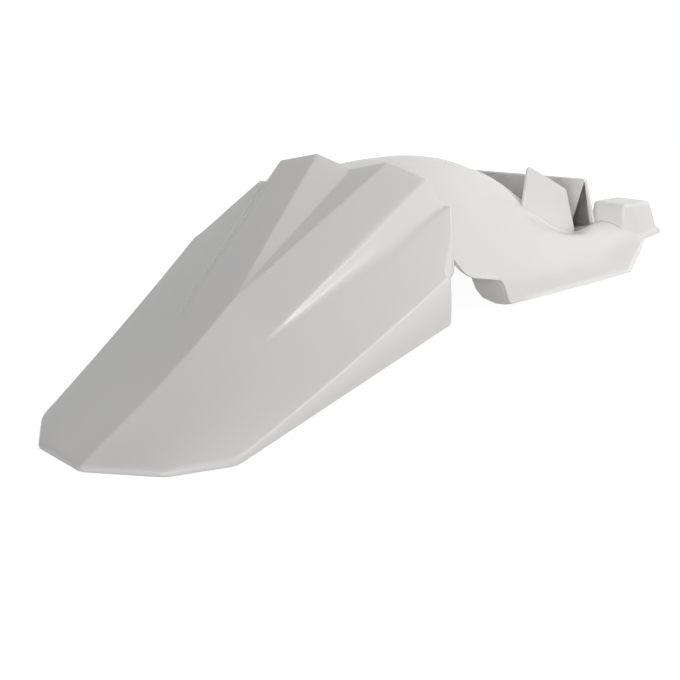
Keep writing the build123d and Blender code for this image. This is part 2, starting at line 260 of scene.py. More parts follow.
def rim_walk(grid):
    """Closed walk round a grid's edge, from the middle of its first row to the left."""
    middle = grid.shape[1] // 2
    left = [*grid[0, middle:], *grid[1:, -1], *grid[-1, -2::-1]]
    return np.array(left + [*grid[-2::-1, 0], *grid[0, 1:middle]])


def round_rim(outer, inner, away):
    """Loops of a rounded edge between an outer and an inner loop of points."""
    loops = []
    for angle in np.linspace(0, math.pi, RIM_ROWS + 1)[1:-1]:
        middle, spread = (outer + inner) / 2, (outer - inner) / 2
        across = math.copysign(abs(math.cos(angle)) ** RIM_SQUARE, math.cos(angle))
        loops.append(middle + spread * across + away * (WALL / 2 * math.sin(angle) ** RIM_SQUARE))
    return loops


def solid(name, points, faces):
    """Blender object from points in millimetres, with its faces turned outwards."""
    mesh = bpy.data.meshes.new(name)
    placed = np.asarray(points, float) * MM + (cad_low.x, 0, 0)
    mesh.from_pydata(placed.tolist(), [], [tuple(int(i) for i in face) for face in faces])
    work = bmesh.new()
    work.from_mesh(mesh)
    bmesh.ops.remove_doubles(work, verts=work.verts, dist=MERGE)
    bmesh.ops.recalc_face_normals(work, faces=work.faces)
    if work.calc_volume(signed=True) < 0:
        bmesh.ops.reverse_faces(work, faces=work.faces)
    work.to_mesh(mesh)
    work.free()
    piece = bpy.data.objects.new(name, mesh)
    bpy.context.scene.collection.objects.link(piece)
    return piece


def shell(name, outer, inner, loops):
    """Closed mesh from two grids of points and the loops that join their edges."""
    blocks = [outer, inner, *loops]
    starts = np.cumsum([0] + [block[..., 0].size for block in blocks])
    points = np.concatenate([block.reshape(-1, 3) for block in blocks])
    index = [np.arange(b[..., 0].size).reshape(b.shape[:-1]) + s for b, s in zip(blocks, starts)]
    faces = []
    for grid in index[:2]:
        for a, b in zip(grid, grid[1:]):
            faces.extend(zip(a[:-1], a[1:], b[1:], b[:-1]))
    rings = [rim_walk(index[0]), *index[2:], rim_walk(index[1])]
    for a, b in zip(rings, rings[1:]):
        faces.extend(zip(a, np.roll(a, -1), np.roll(b, -1), b))
    return solid(name, points, faces)


def grid_away(grid):
    """Which way is out of the sheet at each point of the walk round its edge."""
    away = np.zeros_like(grid)
    away[:, -1] = grid[:, -1] - grid[:, -2]
    away[:, 0] = grid[:, 0] - grid[:, 1]
    away[0], away[-1] = (-1, 0, 0), (0, 0, -1)
    walk, edge = rim_walk(away), rim_walk(grid)
    along = np.roll(edge, -1, axis=0) - np.roll(edge, 1, axis=0)
    along /= np.maximum(np.linalg.norm(along, axis=1), MERGE)[:, None]
    walk -= along * np.sum(walk * along, axis=1)[:, None]
    return walk / np.linalg.norm(walk, axis=1)[:, None]


arch_outer = whole_grid(arch_grid(0, LENGTH, DECK_ROLL))
arch_inner = whole_grid(arch_grid(1, LENGTH - WALL, INNER_ROLL))
arch_rim = round_rim(rim_walk(arch_outer), rim_walk(arch_inner), grid_away(arch_outer))
arch = shell("arch", arch_outer, arch_inner, arch_rim)

# Tail blade
# The thin, creased panel that reaches out behind the wheel, with two raised fingers at its front.
# It is moulded in one with the arch, and its edges are turned down all round to stiffen it.
RIDGE_AT_TAIL, RIDGE_AT_FRONT = 4.8, 151.2
RIDGE_SAG, RIDGE_SAG_END, BRIM_BOW = 4.2, 220.0, (-5.6, 8.4)
FORK, FADE, FADE_OUT = 194.0, 165.6, 44.0
CREST, BROW, FOOT, LEDGE = (35.0, 160.5), (72.8, 150.8), (89.3, 130.7), (95.8, 130.4)
CREASE_SEED, GROWTH = 0.8, 10.0
RIDGE_ROUND_AT_TAIL, RIDGE_ROUND, CREST_ROUND_AT_FORK, CREST_ROUND = 1.5, 0.8, 0.5, 1.2
FINGER_STATIONS = (FADE, 210.0, 290.0, FRONT_EDGE)
BROW_ROUNDS, FOOT_ROUNDS, LEDGE_ROUNDS = (0.8, 1.6, 4.0, 1.6), (0.8, 3.0, 8.0, 1.8), (0.8, 4.0, 9.0, 1.8)
PANEL_CROWN, TAIL_CROWN = 0.8, 4.8
EVEN_HUMP, OUTER_HUMP = 4.0, 6.75
TAIL_CORNER = (23.0, 60.6)
SIDE_BULGE = (334.8, 113.4)
PLAN = [(0.0, 0.0), TAIL_CORNER, BRIM_START[:2], BRIM_END[:2], SIDE_BULGE, (FRONT_EDGE, FRONT_HALF)]
PLAN_ROUNDS = (14.0, 6.0, 24.0, 2.5, 40.0, 2.5)
TAIL_ROLL, BRIM_ROLL, SIDE_ROLL, FRONT_ROLL = 2.8, 1.4, 5.0, 0.8
ROLL_BLEND, ROLL_TURN = 40, 12
SKIRT_AT_SHOULDER, SKIRT_AT_END, SKIRT_CORNER, SKIRT_RETURN = 1.6, 49.5, 6.0, 5.0
STEP_BOTTOM, STEP_BOTTOM_AT_FRONT, STEP_RIM = 85.0, 80.0, 9.0
STEP_DRAFT, SKIRT_BELLY = 0.03, 1.8
CREASE_COLUMNS = (8, 12, 8, 3, 12)
CREST_ROOM, FOOT_ROOM, LEDGE_ROOM, BRIM_ROOM, LEAST_ROOM = 8.0, 5.0, 3.0, 2.0, 1.0
BROW_SPREAD, FOOT_SPREAD, LEDGE_SPREAD = 14.0, 12.0, 5.0
TAIL_BEND = 150.0
BLADE_ROW, CORNER_ROW, LAST_ROW = 3.4, 1.2, 352.0
CORNER_BEFORE, CORNER_AFTER = 8.0, 14.0
BUNCHING, COLUMN_PASSES = 0.09, 8
SKIRT_ROWS, LEAST_SKIRT = 6, 0.1
TAIL_WALL, TAIL_WALL_END = 1.8, 20.0
HALF_SLACK = 1e-9
PANEL_DROP = 1.15 * WALL


def hinge(past, radius):
    """Zero before a crease and a straight rise after it, rounded over the radius on each side."""
    near = np.clip(past, -radius, radius)
    return np.where(past > radius, past, (near + radius) ** 2 / (4 * radius))


def brim(x):
    """Distance out and height of the blade's side edge."""
    share = (x - BRIM_START[0]) / (BRIM_END[0] - BRIM_START[0])
    out, height = [BRIM_START[i] + (BRIM_END[i] - BRIM_START[i]) * share for i in (1, 2)]
    along = np.maximum(share, 0)
    return out, height + BRIM_BOW[0] * along + BRIM_BOW[1] * along**2


def plain_panel(x, y):
    """Height of the blade without its fingers: it falls from ridge to brim, crowned at the tail."""
    brim_out, brim_height = brim(x)
    ridge = RIDGE_AT_TAIL + (RIDGE_AT_FRONT - RIDGE_AT_TAIL) * x / FRONT_EDGE
    ridge = ridge - RIDGE_SAG * np.sin(math.pi * np.clip(x / RIDGE_SAG_END, 0, 1)) ** 2
    out = y / brim_out
    crown = PANEL_CROWN * EVEN_HUMP * out * (1 - out)
    lift = TAIL_CROWN * np.maximum(0, 1 - x / FADE) * OUTER_HUMP * out**2 * (1 - out)
    return ridge + (brim_height - ridge) * out + crown + lift


def crease(x, start, seed, end):
    """Distance out and height of a finger's crease, which lies on the plain panel until it starts."""
    share = np.clip((x - start) / (FRONT_EDGE - start), 0, 1)
    out = seed + (end[0] - seed) * share
    rise = plain_panel(start, seed)
    return out, np.where(x > start, rise + (end[1] - rise) * share, plain_panel(x, out))


def blade_height(x, y):
    """Height of the blade's top, with every crease rounded."""
    out = np.abs(y)
    ridge = plain_panel(x, 0.0)
    ridge_round = np.interp(x, (FADE, FORK), (RIDGE_ROUND_AT_TAIL, RIDGE_ROUND))
    crest_round = np.interp(x, (FORK, FRONT_EDGE), (CREST_ROUND_AT_FORK, CREST_ROUND))
    creases = [
        crease(x, FORK, CREASE_SEED, CREST),
        crease(x, FADE, FADE_OUT, BROW),
        crease(x, FADE, FADE_OUT + CREASE_SEED, FOOT),
        crease(x, FADE, FADE_OUT + 2 * CREASE_SEED, LEDGE),
    ]
    knots = [(0.0, ridge), *creases, brim(x)]
    slopes = [(b[1] - a[1]) / (b[0] - a[0]) for a, b in zip(knots, knots[1:])]
    fingers = ridge + slopes[0] * (2 * hinge(out, ridge_round) - out)
    soft = [np.interp(x, FINGER_STATIONS, radii) for radii in (BROW_ROUNDS, FOOT_ROUNDS, LEDGE_ROUNDS)]
    rounds = (crest_round, *soft)
    for (bend, _), before, after, radius in zip(creases, slopes, slopes[1:], rounds):
        fingers = fingers + (after - before) * hinge(out - bend, radius)
    panel = plain_panel(x, 2 * hinge(out, ridge_round) - out)
    grown = np.clip((x - FADE) / GROWTH, 0, 1)
    return panel + (fingers - panel) * grown


tail_mirror = (TAIL_CORNER[0], -TAIL_CORNER[1])
outline = rounded_path([tail_mirror, *PLAN, (FRONT_EDGE, -FRONT_HALF)], PLAN_ROUNDS)
outline = outline[outline[:, 1] >= -HALF_SLACK]
heading = np.gradient(outline, axis=0)
heading /= np.linalg.norm(heading, axis=1)[:, None]
outward = np.column_stack((-heading[:, 1], heading[:, 0]))
outward[0], outward[-1] = (-1, 0), (1, 0)


def nearest(spot):
    """Number of the outline's point that is nearest to a spot."""
    return int(np.argmin(np.linalg.norm(outline - np.array(spot), axis=1)))


at_shoulder, at_brim_end = nearest(BRIM_START[:2]), nearest(BRIM_END[:2])
at_corner = nearest((FRONT_EDGE, FRONT_HALF))
outline_number = np.arange(len(outline))
edge_roll = np.interp(
    outline_number,
    [
        at_shoulder - ROLL_BLEND,
        at_shoulder + ROLL_BLEND,
        at_brim_end - ROLL_TURN,
        at_brim_end + ROLL_TURN,
        at_corner,
        at_corner + ROLL_TURN,
    ],
    (TAIL_ROLL, BRIM_ROLL, BRIM_ROLL, SIDE_ROLL, FRONT_ROLL, FRONT_ROLL),
)
passage, passage_inward, _, _ = arch_section(FRONT_EDGE)
passage = passage + passage_inward * (WALL + STEP_RIM)


def skirt_bottom(x):
    """Lower edge of the blade's side, which turns up round a corner at its front end."""
    end = BRIM_END[0] + SKIRT_RETURN
    line = np.interp(x, (TAIL_CORNER[0], BRIM_START[0], end), (0.0, SKIRT_AT_SHOULDER, SKIRT_AT_END))
    into = np.clip(x - (end - SKIRT_CORNER), 0, SKIRT_CORNER)
    line = line + SKIRT_CORNER - np.sqrt(SKIRT_CORNER**2 - into**2)
    step = np.interp(x, (end, FRONT_EDGE), (STEP_BOTTOM, STEP_BOTTOM_AT_FRONT))
    return np.where(x > end, step, line)


def bunched(count):
    """Shares of an interval, drawn towards both of its ends."""
    t = np.linspace(0, 1, count + 1)
    return t - BUNCHING * np.sin(2 * math.pi * t)


def column_places(x, brim_out):
    """Distance out of each column of the blade's mesh, so that columns run along the creases."""
    near = 1 - np.clip(x / FADE, 0, 1)
    crest = np.maximum(crease(x, FORK, CREASE_SEED, CREST)[0], CREST_ROOM)
    brow = crease(x, FADE, FADE_OUT, BROW)[0] - BROW_SPREAD * near
    foot = np.maximum(crease(x, FADE, FADE_OUT, FOOT)[0], brow + FOOT_ROOM + FOOT_SPREAD * near)
    ledge = np.maximum(crease(x, FADE, FADE_OUT, LEDGE)[0], foot + LEDGE_ROOM + LEDGE_SPREAD * near)
    ledge = np.minimum(ledge, brim_out - BRIM_ROOM)
    foot = np.minimum(foot, ledge - LEAST_ROOM)
    places = [np.zeros_like(x), crest, brow, foot, ledge, brim_out]
    y, start = np.zeros_like(x), 0
    for low, high, count in zip(places, places[1:], CREASE_COLUMNS):
        cut = slice(start, start + count + 1)
        y[cut] = low[cut] + (high[cut] - low[cut]) * bunched(count)
        start += count
    return y


def blade_skin(inset, drop, radius):
    """Half grid of one skin of the blade, and the rows round its rolled edge and down its side."""
    inner = outline - outward * (inset + radius[:, None])
    tail, side = inner[: at_shoulder + 1], inner[at_shoulder : at_corner + 1]
    front = FRONT_EDGE - inset - radius[-1]
    corner_rows = np.arange(BRIM_END[0] - CORNER_BEFORE, BRIM_END[0] + CORNER_AFTER, CORNER_ROW)
    grid = []
    for nominal in np.unique(np.concatenate((np.arange(0, LAST_ROW, BLADE_ROW), corner_rows, [front]))):
        x = np.full(sum(CREASE_COLUMNS) + 1, nominal)
        for _ in range(COLUMN_PASSES):
            y = column_places(x, np.interp(x, *side.T))
            x = nominal + np.interp(y, tail[:, 1], tail[:, 0]) * max(0, 1 - nominal / TAIL_BEND)
        height = blade_height(x, y) - drop
        if drop:
            height = np.maximum(height, skirt_bottom(np.minimum(x, BRIM_END[0] - TAIL_WALL_END)) + TAIL_WALL)
        grid.append(np.column_stack((x, y, height)))
    half = np.array(grid)

    on_tail = np.interp(half[0, :, 1], tail[:, 1], outline_number[: at_shoulder + 1])
    on_side = np.interp(half[1:, -1, 0], side[:, 0], outline_number[at_shoulder : at_corner + 1])
    on_front = np.full(half.shape[1] - 1, outline_number[-1])
    where = np.concatenate((on_tail, on_side, on_front))
    edge = np.concatenate((half[0], half[1:, -1], half[-1, -2::-1]))
    normal = np.column_stack([np.interp(where, outline_number, outward[:, axis]) for axis in (0, 1)])
    normal /= np.linalg.norm(normal, axis=1)[:, None]
    turn = np.interp(where, outline_number, radius)
    sink = edge[:, 2] - blade_height(edge[:, 0], edge[:, 1])
    rows = []
    for angle in np.linspace(0, math.pi / 2, ROLL_ROWS + 1)[1:]:
        spot = edge[:, :2] + normal * (turn * math.sin(angle))[:, None]
        height = blade_height(*spot.T) + sink - turn * (1 - math.cos(angle))
        rows.append(np.column_stack((spot, height)))
    free = skirt_bottom(spot[:, 0])
    joined = np.maximum(STEP_BOTTOM_AT_FRONT, np.interp(spot[:, 1], *passage.T, right=0))
    bottom = np.where(where == outline_number[-1], joined, free) + WALL / 2
    top = np.maximum(rows[-1][:, 2], bottom + LEAST_SKIRT)
    rows[-1][:, 2] = top
    swept = np.interp(where, (at_brim_end, at_corner, at_corner + ROLL_BLEND), (0, STEP_DRAFT, 0))
    belly = np.interp(where, (at_shoulder, at_brim_end, at_brim_end + ROLL_TURN), (0, SKIRT_BELLY, 0))
    for share in np.linspace(0, 1, SKIRT_ROWS + 1)[1:]:
        height = top + (bottom - top) * share
        push = swept * (top - height) + belly * math.sin(math.pi * share)
        rows.append(np.column_stack((spot + normal * push[:, None], height)))
    return half, [np.concatenate((row, (row * (1, -1, 1))[-2:0:-1])) for row in rows]


blade_outer, outer_rows = blade_skin(0.0, 0.0, edge_roll)
blade_inner, inner_rows = blade_skin(WALL, PANEL_DROP, np.full_like(edge_roll, INNER_ROLL))
blade_rim = round_rim(outer_rows[-1], inner_rows[-1], np.array((0, 0, -1.0)))
blade_loops = [*outer_rows, *blade_rim, *inner_rows[::-1]]
blade = shell("blade", whole_grid(blade_outer), whole_grid(blade_inner), blade_loops)

# Splash plate, fin and webs
# Flat ribs of the same moulding: a plate across the deck that leans back, one upright fin on the
# right-hand flank of the arch, and a web that closes the rear of each skirt.
PLATE_FOOT, PLATE_TOP = (661.0, 32.0), (640.0, 89.0)
PLATE_HALF, PLATE_CORNER, PLATE_THICK = 69.0, 3.0, 3.2
PLATE_UP_RIGHT, PLATE_UP_LEFT = 61.4, 55.2
RIB_OUT, RIB_SLANT, RIB_BELOW, RIB_LENGTH = 14.4, 0.3, 5.0, 10.0
RIB_PROFILE = [(0.8, 1.0), (0.0, -2.4), (-0.4, -2.4), (-2.8, 1.0)]
FIN_OUT, FIN_THICK = 58.0, 3.0
FIN_TOP, FIN_TOP_ROUNDS = [(552.0, 120.2), (620.5, 84.5)], (4.0, 9.0)
FIN_FOOT, PLATE_FOOT_OUT = np.linspace(639.0, 541.0, 9), (69.0, 60.0, 52.0, 40.0, 28.0, 14.0)
FOOT_SINK, FOOT_CORNER = 1.8, 1.6
WEB_TOP, WEB_LEAN = (427.0, 50.5), 0.73
WEB_INNER = [(78.0, 120.0), (73.0, 48.0), (72.0, 37.0), (75.0, 28.0), (86.0, 23.5), (95.0, 24.0)]
WEB_ROUND, WEB_STEP = 2.0, 8.0
EDGE_ROUND, EDGE_ROWS, CAP_RING = 0.8, 4, 0.4
flat_planes = []


def stack(name, loops):
    """Closed block from a stack of loops of points, with a flat face at each end."""
    count = len(loops[0])
    faces = [range(count), range(count * (len(loops) - 1), count * len(loops))]
    for level in range(len(loops) - 1):
        a = np.arange(count) + count * level
        faces.extend(zip(a, np.roll(a, -1), np.roll(a, -1) + count, a + count))
    return solid(name, np.concatenate(loops), faces)


def plate(name, corners, rounds, thick, put):
    """Flat plate with rounded corners and edges, and a function that puts its points in place."""
    start = (np.array(corners[0]) + np.array(corners[-1])) / 2
    path = rounded_path([start, *corners, start], rounds)[:-1]
    heading = np.roll(path, -1, axis=0) - np.roll(path, 1, axis=0)
    heading /= np.linalg.norm(heading, axis=1)[:, None]
    inward = np.column_stack((-heading[:, 1], heading[:, 0]))
    area = np.sum(path[:, 0] * np.roll(path[:, 1], -1) - np.roll(path[:, 0], -1) * path[:, 1])
    inward *= math.copysign(1, area)
    turn = np.linspace(0, math.pi / 2, EDGE_ROWS)
    levels = [(EDGE_ROUND + CAP_RING, 0.0)]
    levels += [(EDGE_ROUND * (1 - math.sin(a)), EDGE_ROUND * (1 - math.cos(a))) for a in turn]
    levels += [(inset, thick - depth) for inset, depth in levels[::-1]]
    made = stack(name, [put(*(path + inward * inset).T, depth) for inset, depth in levels])
    ends = made.data.polygons[:2]
    flat_planes.extend((end.normal.copy(), end.normal.dot(end.center)) for end in ends)
    return made


def inside_wall(x, out):
    """Height of a place within the wall of the arch or deck, where a rib can end unseen."""
    return float(np.interp(out, *arch_section(x)[0].T)) - FOOT_SINK


plate_lean = math.atan2(PLATE_FOOT[0] - PLATE_TOP[0], PLATE_TOP[1] - PLATE_FOOT[1])
plate_foot = [
    (out, (inside_wall(PLATE_FOOT[0], out) - PLATE_FOOT[1]) / math.cos(plate_lean)) for out in PLATE_FOOT_OUT
]
plate_corners = [plate_foot[0], (PLATE_HALF, PLATE_UP_LEFT), (-PLATE_HALF, PLATE_UP_RIGHT)]
plate_corners += [(-out, up) for out, up in plate_foot] + plate_foot[:0:-1]
plate_rounds = (FOOT_CORNER, PLATE_CORNER, PLATE_CORNER) + (FOOT_CORNER,) * (2 * len(plate_foot) - 1)


def on_plate(across, up, depth):
    """Place on the leaning splash plate."""
    x = PLATE_FOOT[0] - up * math.sin(plate_lean) + depth * math.cos(plate_lean)
    z = PLATE_FOOT[1] + up * math.cos(plate_lean) + depth * math.sin(plate_lean)
    return np.column_stack((x, across, z))


splash_plate = plate("splash_plate", plate_corners, plate_rounds, PLATE_THICK, on_plate)
fin_foot = [(x, inside_wall(x, FIN_OUT)) for x in FIN_FOOT]
fin = plate(
    "fin",
    [fin_foot[-1], *FIN_TOP, *fin_foot[:-1]],
    (FOOT_CORNER, *FIN_TOP_ROUNDS, *[FOOT_CORNER] * (len(fin_foot) - 1)),
    FIN_THICK,
    lambda x, z, depth: np.column_stack((x, np.full_like(x, depth - FIN_OUT - FIN_THICK / 2), z)),
)
rib_top = (PLATE_UP_LEFT + PLATE_UP_RIGHT) / 2 - RIB_BELOW
rib_loops = [
    [on_plate(RIB_OUT + RIB_SLANT * below + across, rib_top - below, depth) for across, depth in RIB_PROFILE]
    for below in (0.0, RIB_LENGTH)
]
rib = stack("rib", [np.concatenate(loop) for loop in rib_loops])
section, section_inward, _, _ = arch_section(WEB_TOP[0])
section = (section + section_inward * WALL / 2)[:: int(WEB_STEP / SAMPLE)]
edge_start = np.interp(section[:, 1], *np.array(WEB_INNER[1::-1]).T[::-1])
section = section[(section[:, 0] > edge_start + WEB_STEP / 2) & (section[:, 1] > SKIRT_REAR[1] + WEB_STEP)]
web_corners = [*section, (section[-1][0], SKIRT_REAR[1]), *WEB_INNER[:0:-1]]
webs = [
    plate(
        f"web_{name}",
        web_corners,
        (WEB_ROUND,) * len(web_corners),
        WALL,
        lambda y, z, depth: np.column_stack(
            (WEB_TOP[0] + WEB_LEAN * (WEB_TOP[1] - z) + depth, y * side, z)
        ),
    )
    for name, side in (("left", 1), ("right", -1))
]

# Corner boxes
# Hollow, drafted blocks at the two front corners of the deck, with rounded edges and sloping roofs.
# They are moulded with the deck in the same polypropylene, and are open below.
BOX_BASE, BOX_BASE_AT = (59.0, 42.0), (691.5, 82.3)
BOX_TOP, BOX_TOP_AT, BOX_HEIGHT = (51.0, 38.0), (690.3, 80.8), 60.7
BOX_ROOF_SLOPE = 0.14
BOX_ROUND, BOX_EDGE, BOX_FLARE = 7.0, 4.5, 2.5
BOX_LIMIT = [(663.0, 96.0), (690.0, 103.0), (715.0, 104.0)]
BOX_POINTS, ROOF_ROWS = 96, 6
FLARE_ANGLES, WALL_SHARES = (0, 0.4, 0.8, 1.2, 1.57), (0.4, 0.7)
LEAST_EDGE, LEAST_CORNER = 0.5, 1.0


def deck_height(x, y):
    """Height of the deck's top at one place."""
    out, height = [
        [np.interp(x, station_x, station_columns[:, j, axis]) for j in range(deck_columns)] for axis in (0, 1)
    ]
    return float(np.interp(abs(y), out, height))


def ring(size, radius):
    """Evenly spaced points round a rectangle with rounded corners."""
    a, b = size[0] / 2, size[1] / 2
    path = rounded_path([(a, 0), (a, b), (-a, b), (-a, -b), (a, -b), (a, 0)], (radius,) * 4)
    run = run_length(path)
    places = np.linspace(0, run[-1], BOX_POINTS, endpoint=False)
    return np.column_stack([np.interp(places, run, path[:, axis]) for axis in (0, 1)])


def corner_box(name, side, inset):
    """One corner box, or its cavity where it is drawn in by the wall."""
    edge = max(BOX_EDGE - inset, LEAST_EDGE)
    levels = [
        (0.0, 0.0, -BOX_FLARE * (1 - math.sin(a)), BOX_FLARE * (1 - math.cos(a))) for a in FLARE_ANGLES
    ]
    levels += [(share, 0.0, 0.0, 0.0) for share in WALL_SHARES]
    levels += [
        (1.0, edge * (1 - math.sin(a)), edge * (1 - math.cos(a)), 0.0)
        for a in np.linspace(0, math.pi / 2, ROOF_ROWS)
    ]
    levels.append((1.0, 0.0, 2 * edge, 0.0))
    loops = []
    for share, below_roof, draw, above_deck in levels:
        size = [base + (top - base) * share - 2 * (inset + draw) for base, top in zip(BOX_BASE, BOX_TOP)]
        path = ring(size, max(BOX_ROUND - inset - draw, LEAST_CORNER))
        x, y = [a + (b - a) * share + path[:, i] for i, (a, b) in enumerate(zip(BOX_BASE_AT, BOX_TOP_AT))]
        x = np.minimum(x, LENGTH - inset)
        y = np.minimum(y, np.interp(x, *np.array(BOX_LIMIT).T) - inset)
        low = np.array([deck_height(*spot) for spot in zip(x, y)]) + above_deck - (2 * inset or WALL / 2)
        roof = BOX_HEIGHT - inset - BOX_ROOF_SLOPE * (x - BOX_TOP_AT[0]) - below_roof
        loops.append(np.column_stack((x, side * y, low + (roof - low) * share)))
    return stack(name, loops)


deck_columns = FLANK_COLUMNS + SHOULDER_COLUMNS
boxes = [corner_box(f"box_{name}", side, 0.0) for name, side in (("left", 1), ("right", -1))]
cavities = [corner_box(f"cavity_{name}", side, WALL) for name, side in (("left", 1), ("right", -1))]

# Fixings
# Level pads with bolt holes at the front of the deck, and blind bosses under the blade.
# They are formed in the moulding, and M6 bolts in them hold the fender to the motorcycle's frame.
BOLT_RADIUS = 3.3
PAD_AT, PAD_RADIUS, PAD_FOOT, PAD_TOP = (700.0, 35.0), 9.0, 29.0, 36.5
BOSS_AT, BOSS_RADIUS, BOSS_FOOT, BOSS_DEPTH = (290.0, 42.0), 8.0, 84.0, 20.0
FIXING_CHAMFER, HOLE_REACH = 1.0, 9.0
TURNED_POINTS = 48


def turned(name, centre, profile):
    """Turned block on an upright axis, from radii and heights, or up into the blade for no height."""
    angle = np.linspace(0, 2 * math.pi, TURNED_POINTS, endpoint=False)
    loops = []
    for radius, height in profile:
        x, y = centre[0] + radius * np.cos(angle), centre[1] + radius * np.sin(angle)
        z = blade_height(x, y) - PANEL_DROP / 2 if height is None else np.full_like(angle, height)
        loops.append(np.column_stack((x, y, z)))
    return stack(name, loops)


pads, holes = [], []
for name, side in (("left", 1), ("right", -1)):
    pad = (PAD_AT[0], side * PAD_AT[1])
    boss = (BOSS_AT[0], side * BOSS_AT[1])
    pad_profile = [
        (PAD_RADIUS - FIXING_CHAMFER, PAD_FOOT),
        (PAD_RADIUS, PAD_FOOT + FIXING_CHAMFER),
        (PAD_RADIUS, PAD_TOP - FIXING_CHAMFER),
        (PAD_RADIUS - FIXING_CHAMFER, PAD_TOP),
    ]
    boss_profile = [
        (BOSS_RADIUS - FIXING_CHAMFER, BOSS_FOOT),
        (BOSS_RADIUS, BOSS_FOOT + FIXING_CHAMFER),
        (BOSS_RADIUS, None),
    ]
    pads.append(turned(f"pad_{name}", pad, pad_profile))
    pads.append(turned(f"boss_{name}", boss, boss_profile))
    pad_hole = [(BOLT_RADIUS, PAD_FOOT - HOLE_REACH), (BOLT_RADIUS, PAD_TOP + HOLE_REACH)]
    boss_hole = [(BOLT_RADIUS, BOSS_FOOT - HOLE_REACH), (BOLT_RADIUS, BOSS_FOOT + BOSS_DEPTH)]
    holes.append(turned(f"pad_hole_{name}", pad, pad_hole))
    holes.append(turned(f"boss_hole_{name}", boss, boss_hole))

# The whole moulding
# The blade, arch, ribs, boxes and fixings leave the mould as one thin shell of polypropylene, with
# no seam or fastener between them. The edges of its flat ribs are kept crisp.
SHARP_ANGLE = 50.0
SAME_FACING, SAME_LEVEL = 0.9999, 2e-6


def combine(base, others, operation):
    """Joins blocks to the base, or cuts them out of it, and clears the blocks away."""
    for other in others:
        step = base.modifiers.new(operation.lower(), "BOOLEAN")
        step.object = other
        step.operation = operation
        step.solver = "MANIFOLD"
    bpy.context.view_layer.update()
    graph = bpy.context.evaluated_depsgraph_get()
    whole = bpy.data.meshes.new_from_object(base.evaluated_get(graph))
    base.modifiers.clear()
    base.data = whole
    for other in others:
        bpy.data.objects.remove(other)


combine(blade, [arch, splash_plate, rib, fin, *webs, *boxes, *pads], "UNION")
combine(blade, [*cavities, *holes], "DIFFERENCE")
fender = blade
fender.name = "fender_shell"
fender.data.name = "fender_shell"
fender.data.shade_smooth()
fender.data.set_sharp_from_angle(angle=math.radians(SHARP_ANGLE))


def lies_flat(face):
    """Whether a face is part of one of the flat plates' two sides."""
    return any(
        face.normal.dot(normal) > SAME_FACING and abs(face.center.dot(normal) - level) < SAME_LEVEL
        for normal, level in flat_planes
    )


flat_sides = {}
for face in fender.data.polygons:
    flat = lies_flat(face)
    for loop in face.loop_indices:
        flat_sides.setdefault(fender.data.loops[loop].edge_index, set()).add(flat)
for edge, kinds in flat_sides.items():
    if len(kinds) == 2:
        fender.data.edges[edge].use_edge_sharp = True

# White plastic
# Polypropylene dyed white right through, with the satin face that it takes from the polished mould.
# Its tint and gloss drift a little with the flow of the melt, and it has a very fine grain.


class Socket:
    """A shader node's output, so that shader maths can be written as sums."""

    def __init__(self, tree, link):
        self.tree = tree
        self.link = link

    def node(self, kind, settings=None, inputs=None, output=0):
        """Any other node: its type, its settings, and the values or links of its inputs."""
        made = self.tree.nodes.new(kind)
        for name, value in (settings or {}).items():
            setattr(made, name, value)
        for name, value in (inputs or {}).items():
            if isinstance(value, Socket):
                self.tree.links.new(value.link, made.inputs[name])
            else:
                made.inputs[name].default_value = value
        return Socket(self.tree, made.outputs[output])

    def maths(self, operation, a, b):
        return self.node("ShaderNodeMath", {"operation": operation}, {0: a, 1: b})

    def __add__(self, other):
        return self.maths("ADD", self, other)

    def __sub__(self, other):
        return self.maths("SUBTRACT", self, other)

    def __rsub__(self, other):
        return self.maths("SUBTRACT", other, self)

    def __mul__(self, other):
        return self.maths("MULTIPLY", self, other)

    __radd__, __rmul__ = __add__, __mul__


WHITE, CREAM = (0.808, 0.808, 0.806, 1.0), (0.796, 0.793, 0.786, 1.0)
TINT_SCALE, FLOW_SCALE, GRAIN_SCALE = 5.0, 24.0, 1500.0
TINT_DETAIL, FLOW_DETAIL, GRAIN_DETAIL = 3.0, 4.0, 1.0
SATIN, SATIN_SPREAD = 0.21, 0.08
GRAIN_HEIGHT = 0.00003
plastic = bpy.data.materials.new("white_plastic")
plastic.use_nodes = True
plastic_tree = plastic.node_tree
surface = plastic_tree.nodes["Principled BSDF"]
spot = Socket(plastic_tree, plastic_tree.nodes.new("ShaderNodeTexCoord").outputs["Object"])
tint, flow, grain = [
    spot.node("ShaderNodeTexNoise", None, {"Vector": spot, "Scale": scale, "Detail": detail})
    for scale, detail in (
        (TINT_SCALE, TINT_DETAIL),
        (FLOW_SCALE, FLOW_DETAIL),
        (GRAIN_SCALE, GRAIN_DETAIL),
    )
]
colour = tint.node("ShaderNodeMix", {"data_type": "RGBA"}, {"Factor": tint, 6: WHITE, 7: CREAM}, 2)
bump = grain.node("ShaderNodeBump", None, {"Strength": 1.0, "Distance": GRAIN_HEIGHT, "Height": grain})
plastic_tree.links.new(colour.link, surface.inputs["Base Color"])
plastic_tree.links.new((SATIN + SATIN_SPREAD * flow).link, surface.inputs["Roughness"])
plastic_tree.links.new(bump.link, surface.inputs["Normal"])
fender.data.materials.clear()
fender.data.materials.append(plastic)

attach(fender, "root")
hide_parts("rear_fender")

# Studio
# A plain white floor and surround, large soft lamps, and a camera behind the fender's right side.
FLOOR_HALF = 0.8
FLOOR_DROP = 0.0003
FLOOR_WHITE, FLOOR_GLOW = (0.45, 0.45, 0.45, 1.0), 0.92
AMBIENT = 0.03


